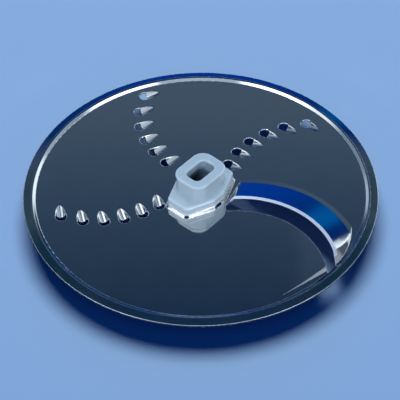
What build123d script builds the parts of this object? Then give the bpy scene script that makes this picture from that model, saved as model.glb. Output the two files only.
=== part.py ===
from build123d import *
import os
from math import acos, atan, cos, degrees, radians, sin, tan

# Reversible food processor disc: one pressed steel sheet that slices on its upper side and
# grates on its lower side, with a plastic drive hub moulded around its middle.
# Millimetres, +Z up. The origin is on the axis, where the lower end of the hub stands.
# X runs along the long side of the drive socket.

# Steel sheet
sheet = 0.7
disc_radius = 85.0
bend_radius = 0.6

# Raised rim: a step up from the flat, a crest, and a band that falls to the cut edge
rim_width = 6.0
rim_crest_width = 4.2
rim_crest_height = 1.1
rim_edge_height = 0.1

# Raised seat for the hub, an octagon longer than it is wide
seat_height = 1.7
seat_wall_angle = 66.0
seat_corner_radius = 2.0
seat_margin = 0.25
seat_clearance = 0.1

# Slicing blade: a strip lifted from a bend arc up to its cutting edge. A round wall closes its
# outer end and a flat wall its inner end.
edge_radius = 44.6
edge_offset = 55.4
edge_angle = -119.2
blade_height = 4.4
blade_bend_radius = 51.2
blade_bend_offset = 49.5
blade_bend_angle = -110.9
blade_bend_ease = 1.3
blade_outer_radius = 38.0
blade_outer_angle = -83.785
blade_outer_gap = 0.361
blade_outer_wall_angle = 46.0
blade_fold_radius = 1.8
blade_inner_x = 7.0
blade_inner_gap = 1.0
blade_inner_direction = 17.3
blade_inner_wall_angle = 54.0
bevel_width = 1.7
bevel_land = 0.1

# Slot in front of the blade, widest where the direction from the middle of the edge's arc meets it
slot_radius = 42.3
slot_width = 4.81
slot_width_direction = 2.3
slot_outer_gap = 5.9
slot_inner_x = 0.1
slot_inner_gap = 4.1
slot_inner_direction = 47.0

# Feed ramp: near the outer end of the slot the flat sinks away from a straight bank along the rim
ramp_direction = -48.0
ramp_start = 43.0
ramp_ease = 6.0
ramp_slope = 4.8
bank_slope = 20.0
bank_direction = -12.9
bank_end_angle = -89.5
bank_end_gap = 1.0

# Grating scoops, pushed down, in rows of equal pitch that start at different gaps from the rim and
# run in as far as the hub lets them
scoop_half_width = 2.6
scoop_hole_distance = 7.8
scoop_lip_distance = 6.5
scoop_lip_depth = 1.95
scoop_trough_radius = 2.3
scoop_bend_radius = 0.1
scoop_edge_chamfer = 0.2
scoop_middle = 5.65
scoop_pitch = 9.35
row_radius = 44.0
row_offset = 56.0
row_inner_gap = 3.5
scoop_rows = (
    # angle of the row's arc, gap from the rim to the outermost scoop's middle, facing from the radius
    (-46.3, 8.3, 98.0),
    (25.4, 5.5, 88.0),
    (102.4, 11.1, 88.0),
)

# Plastic hub, the same above and below the sheet
hub_reach = 15.2
flange_length = 34.4
flange_width = 23.6
flange_end_width = 11.8
flange_side_length = 7.2
flange_height = 5.5
flange_edge_radius = 1.0
boss_length = 21.8
boss_width = 17.4
boss_corner_radius = 5.7
boss_foot_radius = 1.2
collar_overhang = 0.45
collar_height = 1.7
collar_edge_radius = 0.55
socket_length = 13.3
socket_width = 8.2
socket_corner_radius = 2.6
socket_lip_radius = 0.8
window_inset = 1.5

# Room for cutting bodies past the faces that they cut
past = 1.0
block_depth = 12.0
far = 4 * disc_radius
tiny = 0.01

# What follows from the values above
flat_top = hub_reach + sheet
flat_radius = disc_radius - rim_width
blade_inner_foot = (blade_inner_x, -flange_width / 2 - blade_inner_gap)
slot_inner_end = (slot_inner_x, -flange_width / 2 - slot_inner_gap)


def polar(radius, angle, z=0.0):
    return Vector(radius * cos(radians(angle)), radius * sin(radians(angle)), z)


def disc_at(centre, radius, z):
    """A horizontal round face."""
    return Pos(centre.X, centre.Y, z) * Circle(radius)


def column(centre, radius, low, high):
    """An upright cylinder between two heights."""
    return extrude(disc_at(centre, radius, low), amount=high - low)


def below_plane(point, direction, slope, depth):
    """All that lies under a plane. The plane meets the flat along a line through point and rises to
    the left of direction at slope degrees. It is sunk by depth along its own normal."""
    along = polar(1, direction)
    uphill = polar(cos(radians(slope)), direction + 90, sin(radians(slope)))
    normal = along.cross(uphill)
    origin = Vector(point) - normal * depth
    return Plane(origin=origin, x_dir=along, z_dir=normal) * Box(
        far, far, far, align=(Align.CENTER, Align.CENTER, Align.MAX)
    )


def flange_outline(grow=0.0):
    """Octagon with rounded corners: the outline of the hub's flange, and of its seat when grown."""
    outline = Polygon(
        (flange_length / 2, flange_end_width / 2),
        (flange_side_length / 2, flange_width / 2),
        (-flange_side_length / 2, flange_width / 2),
        (-flange_length / 2, flange_end_width / 2),
        (-flange_length / 2, -flange_end_width / 2),
        (-flange_side_length / 2, -flange_width / 2),
        (flange_side_length / 2, -flange_width / 2),
        (flange_length / 2, -flange_end_width / 2),
        align=None,
    )
    outline = fillet(outline.vertices(), seat_corner_radius)
    if grow == 0:
        return outline
    return offset(outline, amount=grow)


# Each forming tool below gives the body under the sheet's upper face, or the hollow above it,
# sunk by depth along the face's normal: 0 for the upper face and the sheet's thickness for the lower.


def sunk_corner(radius, z, slope_in, slope_out, depth):
    """A corner of the rim's profile, on the line that runs depth below it."""
    middle = (slope_in + slope_out) / 2
    reach = depth / cos((slope_out - slope_in) / 2)
    return (radius + reach * sin(middle), z - reach * cos(middle))


def rim_block(depth):
    """Flat, step, crest and band, as one turned body."""
    step = atan(rim_crest_height / (rim_width - rim_crest_width))
    band = -atan((rim_crest_height - rim_edge_height) / rim_crest_width)
    centre = (0, -depth)
    edge = (disc_radius, rim_edge_height - depth / cos(band))
    profile = FilletPolyline(
        centre,
        sunk_corner(flat_radius, 0, 0, step, depth),
        sunk_corner(disc_radius - rim_crest_width, rim_crest_height, step, band, depth),
        edge,
        radius=[bend_radius + depth, bend_radius + sheet - depth],
    )
    closing = Polyline(edge, (disc_radius, -block_depth), (0, -block_depth), centre)
    return revolve(Plane.XZ * make_face(profile + closing), Axis.Z)


def seat_block(depth):
    """Raised octagon with sloping walls."""
    slope = radians(seat_wall_angle)
    low = -past - sheet
    grow = seat_margin + (seat_height - low) / tan(slope) - depth / sin(slope)
    outline = Pos(0, 0, low) * flange_outline(grow)
    return extrude(outline, amount=seat_height - depth - low, taper=90 - seat_wall_angle)


def blade_slope(height=blade_height, ease=0.0):
    """Steepest slope of the lifted strip, on the line through the centres of its two arcs."""
    shift = polar(edge_offset, edge_angle) - polar(blade_bend_offset, blade_bend_angle)
    return atan(height / (blade_bend_radius + ease - edge_radius + shift.length))


def lifted_strip(depth, height, ease=0.0):
    """Strip that rises from its bend arc to the cutting edge, closed at both ends by sloping walls."""
    bend = polar(blade_bend_offset, blade_bend_angle)
    edge = polar(edge_offset, edge_angle)
    low = -past - sheet
    share = low / height
    foot = bend + (edge - bend) * share
    foot_radius = blade_bend_radius + ease + (edge_radius - blade_bend_radius - ease) * share
    strip = loft([disc_at(foot, foot_radius, low), disc_at(edge, edge_radius, height)], ruled=True)
    strip = Pos(0, 0, -depth / cos(blade_slope(height, ease))) * strip
    strip -= column(edge, edge_radius, low - block_depth, height + past)
    strip &= Pos(edge) * Box(far, far, far, align=(Align.MIN, Align.CENTER, Align.CENTER))
    strip &= below_plane(blade_inner_foot, blade_inner_direction + 180, blade_inner_wall_angle, depth)
    slope = radians(blade_outer_wall_angle)
    low -= sheet
    cone = Cone(
        bottom_radius=blade_outer_radius - low / tan(slope) - depth / sin(slope),
        top_radius=blade_outer_radius - (height + past) / tan(slope) - depth / sin(slope),
        height=height + past - low,
        align=(Align.CENTER, Align.CENTER, Align.MIN),
    )
    return strip & Pos(polar(flat_radius - blade_outer_gap - blade_outer_radius, blade_outer_angle, low)) * cone


def blade_block(depth):
    """The lifted strip with rounded folds at its ends. A strip of half its slope eases the bend."""
    strip = lifted_strip(depth, blade_height)
    rising = strip.edges().filter_by(lambda e: e.bounding_box().size.Z > tiny)
    folds = rising.sort_by(SortBy.LENGTH)[-2:]
    return fillet(folds, blade_fold_radius - depth) + lifted_strip(depth, blade_height / 2, blade_bend_ease)


def slot_centre():
    """Middle of the arc along the front of the slot."""
    shift = slot_width - edge_radius + slot_radius
    return polar(edge_offset, edge_angle) - polar(shift, slot_width_direction)


def ramp_hollow(depth):
    """Hollow over the feed ramp, within the rim and up to the bank."""
    hollow = column(slot_centre(), slot_radius + past, -block_depth / 2, past)
    hollow &= column(Vector(), flat_radius, -block_depth / 2, past)
    level = ramp_direction + 90
    floor = below_plane(polar(ramp_start, ramp_direction), level, ramp_slope, depth)
    floor &= below_plane(polar(ramp_start - ramp_ease, ramp_direction), level, ramp_slope / 2, depth)
    bank_end = polar(flat_radius - bank_end_gap, bank_end_angle)
    return hollow - floor - below_plane(bank_end, bank_direction + 180, bank_slope, depth)


def scoop_places():
    """Where each scoop's middle is, and the way it opens."""
    for arc_angle, outer_gap, facing in scoop_rows:
        radius = flat_radius - outer_gap
        while radius > flange_length / 2 + row_inner_gap:
            turn = acos((radius**2 + row_offset**2 - row_radius**2) / (2 * radius * row_offset))
            angle = arc_angle + degrees(turn)
            yield Pos(polar(radius, angle)) * Rot(0, 0, angle + facing)
            radius -= scoop_pitch


def scoop_hollow(depth):
    """Round trough that falls from the tail of the scoop to its lip, which opens along +X."""
    fall = atan(scoop_lip_depth / scoop_lip_distance)
    across = Vector(sin(fall), 0, cos(fall))
    along = Vector(cos(fall), 0, -sin(fall))
    axis = Plane(origin=across * scoop_trough_radius, x_dir=across, z_dir=along)
    trough = axis * Cylinder(scoop_trough_radius + depth, 4 * scoop_hole_distance)
    trough &= Pos(scoop_lip_distance, 0, 0) * Box(
        scoop_lip_distance + past, far, far, align=(Align.MAX, Align.CENTER, Align.CENTER)
    )
    return Pos(-scoop_middle, 0, 0) * trough


def scoop_hole():
    """Round opening in front of the lip, with a broken upper edge."""
    bore = Cylinder(scoop_half_width, block_depth)
    flare = Cone(
        bottom_radius=scoop_half_width,
        top_radius=scoop_half_width + 2 * scoop_edge_chamfer,
        height=2 * scoop_edge_chamfer,
    )
    before_lip = Pos(scoop_lip_distance, 0, 0) * Box(far, far, far, align=(Align.MIN, Align.CENTER, Align.CENTER))
    return Pos(-scoop_middle, 0, 0) * (Pos(scoop_hole_distance, 0, 0) * (bore + flare) & before_lip)


def formed_block(depth):
    """Everything under the sheet's upper face, sunk by depth."""
    block = rim_block(depth) + seat_block(depth) + blade_block(depth)
    block -= ramp_hollow(depth)
    hollow = scoop_hollow(depth)
    block -= [place * hollow for place in scoop_places()]
    bends = block.edges().filter_by(GeomType.ELLIPSE).filter_by(lambda e: e.bounding_box().size.Z < tiny)
    return fillet(bends, scoop_bend_radius + sheet - depth)


def slot():
    """Opening between the cutting edge and the sheet in front of it."""
    edge = polar(edge_offset, edge_angle)
    opening = column(edge, edge_radius, -block_depth, blade_height)
    opening -= column(slot_centre(), slot_radius, -block_depth - past, blade_height + past)
    opening &= column(Vector(), disc_radius - slot_outer_gap, -block_depth, blade_height)
    outside = Plane(origin=Vector(*slot_inner_end), x_dir=polar(1, slot_inner_direction), z_dir=(0, 0, 1))
    opening -= outside * Box(far, far, far, align=(Align.CENTER, Align.MIN, Align.CENTER))
    return opening


def bevel():
    """What grinding takes off the top of the cutting edge."""
    edge = polar(edge_offset, edge_angle)
    tip = blade_height - sheet / cos(blade_slope()) + bevel_land
    back = blade_height - bevel_width * tan(blade_slope())
    rise = (back - tip) / bevel_width
    section = Polygon(
        (edge_radius - past, tip - past * rise),
        (edge_radius + bevel_width, back),
        (edge_radius + bevel_width, blade_height + past),
        (edge_radius - past, blade_height + past),
        align=None,
    )
    return Pos(edge) * revolve(Plane.XZ * section, Axis.Z)


def window():
    """Opening in the sheet that the hub is moulded through."""
    inset = 2 * window_inset
    return RectangleRounded(boss_length - inset, boss_width - inset, boss_corner_radius - window_inset)


def cutting_disc():
    blank = formed_block(0) - formed_block(sheet)
    hole = scoop_hole()
    blank -= [place * hole for place in scoop_places()]
    blank -= slot()
    blank -= bevel()
    return blank - extrude(Pos(0, 0, -block_depth) * window(), amount=2 * block_depth)


def within(point, length, width):
    """Whether a point lies inside an upright box around the axis."""
    return abs(point.X) < length / 2 + tiny and abs(point.Y) < width / 2 + tiny


def half_hub(foot, grow=0.0):
    """Flange, boss and collar on one side of the sheet. The flange meets the sheet at height foot."""
    flange = extrude(Pos(0, 0, foot) * flange_outline(grow), amount=flange_height - foot)
    flange = fillet(flange.edges().group_by(Axis.Z)[-1], flange_edge_radius)
    neck = RectangleRounded(boss_length, boss_width, boss_corner_radius)
    body = flange + extrude(Pos(0, 0, foot) * neck, amount=hub_reach - foot)
    level = body.edges().filter_by(lambda e: e.bounding_box().size.Z < tiny)
    level = level.filter_by(lambda e: abs(e.center().Z - flange_height) < tiny)
    around = level.filter_by(lambda e: within(e.center(), boss_length, boss_width))
    body = fillet(around, boss_foot_radius)
    collar = extrude(Pos(0, 0, hub_reach - collar_height) * offset(neck, amount=collar_overhang), amount=collar_height)
    return body + fillet(collar.edges().filter_by(Plane.XY), collar_edge_radius)


def hub():
    """Both sides of the moulding, joined through the window, with the drive socket right through."""
    nested = seat_margin - sheet * tan(radians(seat_wall_angle) / 2) - seat_clearance
    body = half_hub(seat_height)
    body += mirror(half_hub(-seat_height, nested), about=Plane.XY.offset(-sheet / 2))
    body += extrude(Pos(0, 0, seat_height - sheet) * window(), amount=sheet)
    bore = RectangleRounded(socket_length, socket_width, socket_corner_radius)
    body -= extrude(Pos(0, 0, -sheet - hub_reach - past) * bore, amount=sheet + 2 * hub_reach + 2 * past)
    ends = body.edges().group_by(Axis.Z)
    lips = (ends[0] + ends[-1]).filter_by(lambda e: within(e.center(), socket_length, socket_width))
    return fillet(lips, socket_lip_radius)


if __name__ == "__main__":
    os.makedirs("parts", exist_ok=True)
    export_step(Pos(0, 0, flat_top) * cutting_disc(), "parts/cutting_disc.step")
    export_step(Pos(0, 0, flat_top) * hub(), "parts/hub.step")
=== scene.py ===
from collections import namedtuple
from math import cos, radians, sin

import bpy
from mathutils import Matrix, Vector

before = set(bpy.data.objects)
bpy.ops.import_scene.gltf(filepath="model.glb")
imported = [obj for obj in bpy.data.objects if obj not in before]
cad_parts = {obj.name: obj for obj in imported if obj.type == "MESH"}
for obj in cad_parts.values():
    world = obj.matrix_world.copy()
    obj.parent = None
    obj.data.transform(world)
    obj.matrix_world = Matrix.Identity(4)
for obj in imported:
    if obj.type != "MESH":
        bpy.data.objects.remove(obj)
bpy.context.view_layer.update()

# Sizes of the disc, in metres
FLAT_TOP = 0.0159
EDGE_RADIUS = 0.0446
EDGE_OFFSET = 0.0554
EDGE_ANGLE = radians(-119.2)
BEVEL_WIDTH = 0.0017
BEVEL_LOWEST = FLAT_TOP + 0.002
RAMP_AZIMUTH = radians(-48)
RAMP_DIRECTION = (cos(RAMP_AZIMUTH), sin(RAMP_AZIMUTH), 0)
RAMP_START = 0.037
RAMP_BEND = 0.014
RAMP_FALL = radians(4.8)
RAMP_HIGHEST = FLAT_TOP - 0.00001

# Finish of the steel, with a painted highlight along its sharp edges
STEEL_EDGE = 0.0004
STEEL_COLOURS = ((0.625, 0.630, 0.635), (0.655, 0.660, 0.665))
STEEL_PAINTED_HIGHLIGHT = (0.90, 0.92, 0.94)
STEEL_GROUND = (0.88, 0.89, 0.92)
CLOUD_SCALE = 70.0
HAZE_SCALE = 900.0
STROKE_SCALE = 900.0
STROKE_DEPTH = 0.00002
WORN_ROUGHNESS = 0.25
WORN_SATIN = 0.7
GROUND_SATIN = 0.8

# Finish of the plastic, with its painted highlight and painted shade
PLASTIC_EDGE = 0.0007
PLASTIC_COLOURS = ((0.62, 0.70, 0.69), (0.66, 0.74, 0.73))
PLASTIC_PAINTED_HIGHLIGHT = (0.96, 0.98, 1.0)
PLASTIC_CREASE_SHADE = (0.26, 0.32, 0.34)
PLASTIC_RECESS_SHADE = (0.005, 0.012, 0.020)
MOTTLE_SCALE = 260.0
GRAIN_SCALE = 5000.0
GRAIN_DEPTH = 0.00002
EDGE_REACH = 0.0012
CREASE_REACH = 0.002
RECESS_REACH = 0.012
WORN_GLOSS = 0.06

# Rays that feel for edges and recesses at each point
EDGE_SAMPLES = 8

# How the photograph was taken. VIEW_AIM is how far right of and above the disc's middle it aims.
VIEW_AZIMUTH = radians(-48)
VIEW_ELEVATION = radians(45.55)
VIEW_DISTANCE = 1.1475
VIEW_ROLL = radians(-0.71)
VIEW_AIM = (-0.0003, -0.0034)
VIEW_REACH = 20.0
LENS = 215.6

# Floor and lamps
FLOOR_SIZE = 6.0
FLOOR_COLOUR = (0.58, 0.78, 1.0)
LAMP_DISTANCE = 2.0
LAMP_COLOUR = (0.68, 0.83, 1.0)
BOUNCE = {"color": (0.02, 0.22, 1.0), "shape": "DISK", "size": 2.0}
BEAM = {"spot_size": radians(1.5), "shadow_soft_size": 0.02}
BEAM_AZIMUTH = radians(42)
BEAM_ELEVATION = radians(24)

# A soft-edged panel: the direction of its middle to the right of the back, half its width, its
# lowest and highest rise and the softness of its edges in degrees, and its colour
Panel = namedtuple("Panel", "middle half_width low high soft colour")

TENT = (
    # the left wing, dim, with a lit strip
    Panel(-52.0, 24.0, 15.0, 46.0, 6.0, (0.24, 0.32, 0.44)),
    Panel(-41.0, 8.0, 15.0, 27.0, 4.0, (0.50, 0.64, 0.82)),
    # the right wing with its lit sheet, which hangs lower in the middle
    Panel(54.0, 22.0, 19.0, 46.0, 5.0, (0.42, 0.53, 0.68)),
    Panel(40.0, 16.0, 19.0, 36.0, 4.0, (1.25, 1.45, 1.60)),
    Panel(62.0, 8.0, 19.0, 28.0, 3.0, (1.10, 1.25, 1.40)),
    Panel(50.0, 6.0, 8.0, 20.0, 3.0, (1.25, 1.45, 1.60)),
    Panel(59.0, 5.0, 1.0, 9.0, 3.0, (1.00, 1.10, 1.20)),
    Panel(74.0, 8.0, 6.0, 15.0, 3.0, (0.10, 0.13, 0.17)),
    Panel(87.0, 8.0, 14.0, 24.0, 3.0, (0.36, 0.42, 0.48)),
    # the soft boxes high at both sides
    Panel(-95.0, 25.0, 38.0, 70.0, 6.0, (1.20, 1.35, 1.50)),
    Panel(-105.0, 27.0, 57.0, 71.0, 6.0, (4.0, 4.2, 4.4)),
    Panel(105.0, 27.0, 57.0, 71.0, 6.0, (4.0, 4.2, 4.4)),
    # the tent's lit hem
    Panel(-118.0, 20.0, 1.0, 9.0, 3.0, (1.6, 1.7, 1.8)),
    Panel(130.0, 14.0, 1.0, 9.0, 3.0, (1.6, 1.7, 1.8)),
)
WALL = (
    # a teal cloth on the wall, a dark gap and a small light beside it
    Panel(18.5, 3.5, 19.5, 24.0, 2.0, (0.0, 0.12, 0.44)),
    Panel(-13.0, 8.0, -90.0, 15.0, 2.5, (0.012, 0.045, 0.085)),
    Panel(-9.0, 2.0, 11.5, 14.5, 1.5, (0.42, 0.50, 0.60)),
)
TENT_FRONT = (0.70, 0.80, 0.92)
WALL_EDGE = (0.005, 0.035, 0.060)
ROOF = (0.70, 0.80, 0.90)
ROOF_ANGLES = (radians(35), radians(38))
ROOF_SAG = 0.2
UNDERNEATH = (0.001, 0.004, 0.030)


def direction(azimuth, elevation):
    """Direction from the disc to a place around it, with azimuth zero in front of the disc."""
    return Vector((sin(azimuth) * cos(elevation), -cos(azimuth) * cos(elevation), sin(elevation)))


def make_camera():
    back = direction(VIEW_AZIMUTH, VIEW_ELEVATION)
    level = Vector((0, 0, 1)).cross(back).normalized()
    turn = Matrix.Rotation(VIEW_ROLL, 3, back)
    right = turn @ level
    up = turn @ back.cross(level)
    aim = Vector((0, 0, FLAT_TOP)) + right * VIEW_AIM[0] + up * VIEW_AIM[1]
    axes = Matrix((right, up, back)).transposed().to_4x4()
    camera = bpy.data.objects.new("camera", bpy.data.cameras.new("camera"))
    camera.data.lens = LENS
    camera.data.clip_end = VIEW_REACH
    camera.matrix_world = Matrix.Translation(aim + back * VIEW_DISTANCE) @ axes
    bpy.context.scene.collection.objects.link(camera)
    bpy.context.scene.camera = camera


class Shader:
    """Node tree of a material or a world, with one call for each kind of node."""

    def __init__(self, owner):
        owner.use_nodes = True
        self.tree = owner.node_tree
        self.tree.nodes.clear()

    def node(self, kind, inputs=None, **settings):
        made = self.tree.nodes.new("ShaderNode" + kind)
        for name, value in settings.items():
            setattr(made, name, value)
        for name, value in (inputs or {}).items():
            socket = made.inputs[name]
            if isinstance(value, bpy.types.NodeSocket):
                self.tree.links.new(value, socket)
            elif socket.type == "RGBA":
                socket.default_value = (*value, 1.0)
            else:
                socket.default_value = value
        return made

    def math(self, operation, first, second=0.0):
        return self.node("Math", {0: first, 1: second}, operation=operation).outputs[0]

    def product(self, first, second):
        return self.math("MULTIPLY", first, second)

    def dot(self, first, second):
        return self.node("VectorMath", {0: first, 1: second}, operation="DOT_PRODUCT").outputs["Value"]

    def ease(self, value, start, end, low=0.0, high=1.0):
        """Smooth passage from low at start to high at end."""
        limits = {"Value": value, "From Min": start, "From Max": end, "To Min": low, "To Max": high}
        return self.node("MapRange", limits, interpolation_type="SMOOTHSTEP").outputs["Result"]

    def noise(self, coordinates, scale, detail=2.0):
        inputs = {"Vector": coordinates, "Scale": scale, "Detail": detail}
        return self.node("TexNoise", inputs).outputs["Fac"]

    def rounded(self, radius):
        """Normals that run smoothly around edges."""
        return self.node("Bevel", {"Radius": radius}, samples=EDGE_SAMPLES).outputs[0]

    def room(self, reach, **settings):
        """How free a point is of surfaces within reach: one in the open, less in a hollow."""
        made = self.node("AmbientOcclusion", {"Distance": reach}, samples=EDGE_SAMPLES, **settings)
        return made.outputs["AO"]

    def bump(self, strength, depth, height, normal):
        inputs = {"Strength": strength, "Distance": depth, "Height": height, "Normal": normal}
        return self.node("Bump", inputs).outputs[0]

    def ramp(self, value, stops):
        """Colour ramp through (place, colour) stops."""
        made = self.node("ValToRGB", {"Fac": value})
        points = made.color_ramp.elements
        while len(points) < len(stops):
            points.new(1.0)
        for point, (place, colour) in zip(points, stops):
            point.position = place
            point.color = (*colour, 1.0)
        return made.outputs["Color"]

    def mix(self, share, first, second, kind="RGBA"):
        """Passage from first to second, of colours, numbers or directions."""
        start, output = {"FLOAT": (2, 0), "VECTOR": (4, 1), "RGBA": (6, 2)}[kind]
        inputs = {0: share, start: first, start + 1: second}
        return self.node("Mix", inputs, data_type=kind).outputs[output]

    def finish(self, shader, output="OutputMaterial"):
        end = self.node(output)
        self.tree.links.new(shader.outputs[0], end.inputs["Surface"])


def make_studio():
    """White tent, brightest at the sides, open at the back towards a slate wall over a blue cloth.

    It shows in reflections alone. The lamps light the matt surfaces.
    """
    world = bpy.data.worlds.new("studio")
    bpy.context.scene.world = world
    world.cycles_visibility.diffuse = False
    s = Shader(world)
    ray = s.node("TexCoord").outputs["Generated"]
    turning = {"Vector": ray, "Angle": -VIEW_AZIMUTH}
    turned = s.node("VectorRotate", turning, rotation_type="Z_AXIS").outputs[0]
    right, back, up = s.node("SeparateXYZ", {0: turned}).outputs
    side = s.math("DEGREES", s.math("ARCTAN2", right, back))
    rise = s.math("DEGREES", s.math("ARCSINE", up))
    height = s.math("DIVIDE", rise, 90.0)
    aside = s.math("ABSOLUTE", right)

    def hang(panels, light):
        """Light with the panels in front of it."""
        for middle, half_width, low, high, soft, colour in panels:
            away = s.math("ABSOLUTE", s.math("SUBTRACT", side, middle))
            across = s.ease(away, half_width + soft, half_width - soft)
            above = s.ease(rise, low - soft, low + soft)
            below = s.ease(rise, high + soft, high - soft)
            light = s.mix(s.product(across, s.product(above, below)), light, colour)
        return light

    tent = s.ramp(height, [
        (0.00, (0.004, 0.020, 0.090)),
        (0.28, (0.060, 0.085, 0.120)),
        (0.52, (0.300, 0.420, 0.580)),
        (0.80, (0.400, 0.560, 0.760)),
    ])
    front = s.product(s.ease(back, -0.15, -0.45), s.ease(rise, 4.0, 14.0))
    tent = hang(TENT, s.mix(front, tent, TENT_FRONT))

    wall = s.ramp(height, [
        (0.00, (0.015, 0.060, 0.140)),
        (0.115, (0.015, 0.060, 0.140)),
        (0.14, (0.001, 0.052, 0.410)),
        (0.185, (0.001, 0.046, 0.350)),
        (0.22, (0.001, 0.036, 0.240)),
        (0.29, (0.001, 0.030, 0.170)),
        (0.35, (0.072, 0.118, 0.190)),
        (0.48, (0.078, 0.128, 0.190)),
        (0.505, (0.041, 0.080, 0.142)),
        (0.54, (0.012, 0.036, 0.083)),
        (0.87, (0.0075, 0.034, 0.088)),
        (0.91, (0.350, 0.430, 0.540)),
    ])
    wall = hang(WALL, wall)
    edge = s.product(s.ease(aside, 0.18, 0.38, 0.0, 0.6), s.ease(rise, 26.0, 36.0))
    wall = s.mix(edge, wall, WALL_EDGE)
    opening = s.product(s.ease(aside, 0.43, 0.40), s.ease(back, -0.05, 0.10))
    light = s.mix(opening, tent, wall)

    # The roof over the opening begins at an angle from the direction that the flat mirrors
    straight = s.product(back, cos(VIEW_ELEVATION))
    mirrored = s.math("ADD", straight, s.product(up, sin(VIEW_ELEVATION)))
    mirrored = s.math("SUBTRACT", mirrored, s.product(aside, ROOF_SAG))
    over = s.ease(mirrored, cos(ROOF_ANGLES[0]), cos(ROOF_ANGLES[1]))
    roof = s.product(over, s.ease(rise, 50.0, 58.0))
    light = s.mix(s.product(roof, opening), light, ROOF)

    light = s.mix(s.ease(rise, -1.0, -6.0), light, UNDERNEATH)
    s.finish(s.node("Background", {"Color": light, "Strength": 1.0}), "OutputWorld")


def make_lamp(name, kind, azimuth, elevation, watts, **settings):
    """Lamp aimed at the hub, by its azimuth from the view. Only the beams show in reflections."""
    lamp = bpy.data.objects.new(name, bpy.data.lights.new(name, kind))
    lamp.data.energy = watts
    lamp.data.color = LAMP_COLOUR
    for setting, value in settings.items():
        setattr(lamp.data, setting, value)
    lamp.visible_glossy = kind == "SPOT"
    back = direction(VIEW_AZIMUTH + azimuth, elevation)
    place = Vector((0, 0, FLAT_TOP)) + back * LAMP_DISTANCE
    turn = back.to_track_quat("Z", "Y").to_matrix().to_4x4()
    lamp.matrix_world = Matrix.Translation(place) @ turn
    bpy.context.scene.collection.objects.link(lamp)


def make_floor():
    """Plain pale floor, which the steel doesn't mirror."""
    bpy.ops.mesh.primitive_plane_add(size=FLOOR_SIZE)
    floor = bpy.context.object
    floor.name = "floor"
    floor.visible_glossy = False
    paint = bpy.data.materials.new("floor")
    s = Shader(paint)
    matt = {"Base Color": FLOOR_COLOUR, "Roughness": 0.9, "Specular IOR Level": 0.0}
    s.finish(s.node("BsdfPrincipled", matt))
    floor.data.materials.append(paint)


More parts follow.
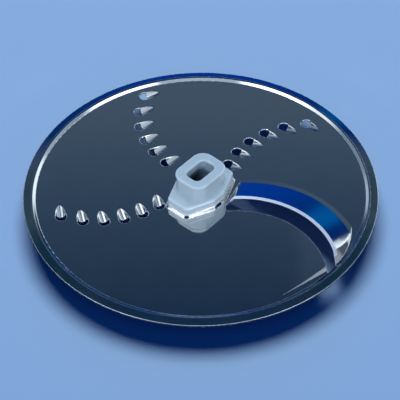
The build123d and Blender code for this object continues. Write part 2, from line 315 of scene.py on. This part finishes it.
def steel():
    """Polished sheet with faint handling marks. The cutting edge is ground, across the edge."""
    material = bpy.data.materials.new("polished_steel")
    s = Shader(material)
    place = s.node("TexCoord").outputs["Object"]
    x, y, z = s.node("SeparateXYZ", {0: place}).outputs
    normal = s.node("NewGeometry").outputs["Normal"]
    rounded = s.rounded(STEEL_EDGE)

    # The ground bevel follows the arc of the cutting edge
    x = s.math("SUBTRACT", x, EDGE_OFFSET * cos(EDGE_ANGLE))
    y = s.math("SUBTRACT", y, EDGE_OFFSET * sin(EDGE_ANGLE))
    radius = s.math("SQRT", s.math("ADD", s.product(x, x), s.product(y, y)))
    near = s.math("LESS_THAN", radius, EDGE_RADIUS + BEVEL_WIDTH)
    ground = s.product(near, s.math("GREATER_THAN", z, BEVEL_LOWEST))
    around = s.node("CombineXYZ", {0: s.math("ARCTAN2", y, x)}).outputs[0]
    stroke = s.noise(around, STROKE_SCALE)

    # Sharp edges show wear in patches, rougher and less metallic, and are lighter in colour as a
    # painted highlight
    cloud = s.noise(place, CLOUD_SCALE)
    haze = s.noise(place, HAZE_SCALE, 4.0)
    sharp = s.ease(s.dot(rounded, normal), 0.998, 0.990)
    worn_with_painted_highlight = s.product(sharp, s.ease(haze, 0.35, 0.6, 0.2, 1.0))

    polish = s.math("ADD", s.ease(cloud, 0.3, 0.7, 0.035, 0.06), s.ease(haze, 0.3, 0.7, 0.0, 0.02))
    polish = s.math("ADD", polish, s.product(worn_with_painted_highlight, WORN_ROUGHNESS))
    rough = s.mix(ground, polish, s.ease(stroke, 0.3, 0.7, 0.55, 0.70), "FLOAT")
    colour = s.ramp(cloud, list(zip((0.3, 0.7), STEEL_COLOURS)))
    colour = s.mix(worn_with_painted_highlight, colour, STEEL_PAINTED_HIGHLIGHT)
    colour = s.mix(ground, colour, STEEL_GROUND)
    satin = s.math("MAXIMUM", s.product(ground, GROUND_SATIN), s.product(worn_with_painted_highlight, WORN_SATIN))
    bump = s.bump(0.3, STROKE_DEPTH, s.product(ground, stroke), rounded)

    # The light follows the feed ramp as it bends gently down from the flat
    fall = s.ease(s.dot(place, RAMP_DIRECTION), RAMP_START, RAMP_START + RAMP_BEND, 0.0, RAMP_FALL)
    lean = s.node("VectorMath", {0: RAMP_DIRECTION, "Scale": fall}, operation="SCALE").outputs[0]
    bent = s.node("VectorMath", {0: lean, 1: (0, 0, 1)}, operation="ADD").outputs[0]
    bent = s.node("VectorMath", {0: bent}, operation="NORMALIZE").outputs[0]
    upright = s.node("SeparateXYZ", {0: normal}).outputs[2]
    level = s.math("GREATER_THAN", upright, cos(RAMP_FALL * 1.2))
    sunk = s.product(level, s.math("LESS_THAN", z, RAMP_HIGHEST))

    s.finish(s.node("BsdfPrincipled", {
        "Base Color": colour,
        "Metallic": s.math("SUBTRACT", 1.0, satin),
        "Roughness": rough,
        "Normal": s.mix(sunk, bump, bent, "VECTOR"),
    }))
    return material


def plastic():
    """Pale grey moulding with a fine grain, with wear along its edges that makes them smoother, and a
    painted highlight that makes them lighter. Painted shade darkens its creases and deep recesses.
    """
    material = bpy.data.materials.new("hub_plastic")
    s = Shader(material)
    place = s.node("TexCoord").outputs["Object"]
    mottle = s.noise(place, MOTTLE_SCALE, 3.0)
    grain = s.noise(place, GRAIN_SCALE)
    # Edges show wear in patches: smoother, and lighter in colour as a painted highlight
    sharp = s.ease(s.room(EDGE_REACH, inside=True, only_local=True), 0.97, 0.72)
    worn_with_painted_highlight = s.product(sharp, s.ease(mottle, 0.25, 0.6, 0.5, 1.0))
    # Painted shade darkens creases, such as the groove under the collar
    crease_shade = s.ease(s.room(CREASE_REACH), 0.90, 0.50, 0.0, 0.6)
    # Painted shade darkens deep recesses, such as inside the socket, nearly to black
    recess_shade = s.ease(s.room(RECESS_REACH), 0.38, 0.25)

    colour = s.ramp(mottle, list(zip((0.3, 0.7), PLASTIC_COLOURS)))
    colour = s.mix(worn_with_painted_highlight, colour, PLASTIC_PAINTED_HIGHLIGHT)
    colour = s.mix(crease_shade, colour, PLASTIC_CREASE_SHADE)
    colour = s.mix(recess_shade, colour, PLASTIC_RECESS_SHADE)
    rough = s.math("SUBTRACT", s.ease(mottle, 0.3, 0.7, 0.16, 0.24), s.product(worn_with_painted_highlight, WORN_GLOSS))
    s.finish(s.node("BsdfPrincipled", {
        "Base Color": colour,
        "Roughness": rough,
        "Normal": s.bump(0.12, GRAIN_DEPTH, grain, s.rounded(PLASTIC_EDGE)),
        "Coat Weight": 0.5,
        "Coat Roughness": 0.06,
    }))
    return material


make_camera()
make_studio()
make_floor()
make_lamp("top_lamp", "AREA", radians(180), radians(76), 27.0, shape="DISK", size=1.5)
make_lamp("left_lamp", "SPOT", -BEAM_AZIMUTH, BEAM_ELEVATION, 53.0, **BEAM)
make_lamp("right_lamp", "SPOT", BEAM_AZIMUTH, BEAM_ELEVATION, 56.0, **BEAM)
make_lamp("front_bounce", "AREA", 0.0, radians(40), 6.0, **BOUNCE)
make_lamp("back_bounce", "AREA", radians(180), radians(30), 6.0, **BOUNCE)
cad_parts["cutting_disc"].data.materials[0] = steel()
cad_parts["hub"].data.materials[0] = plastic()
bpy.context.scene.view_settings.view_transform = "Standard"
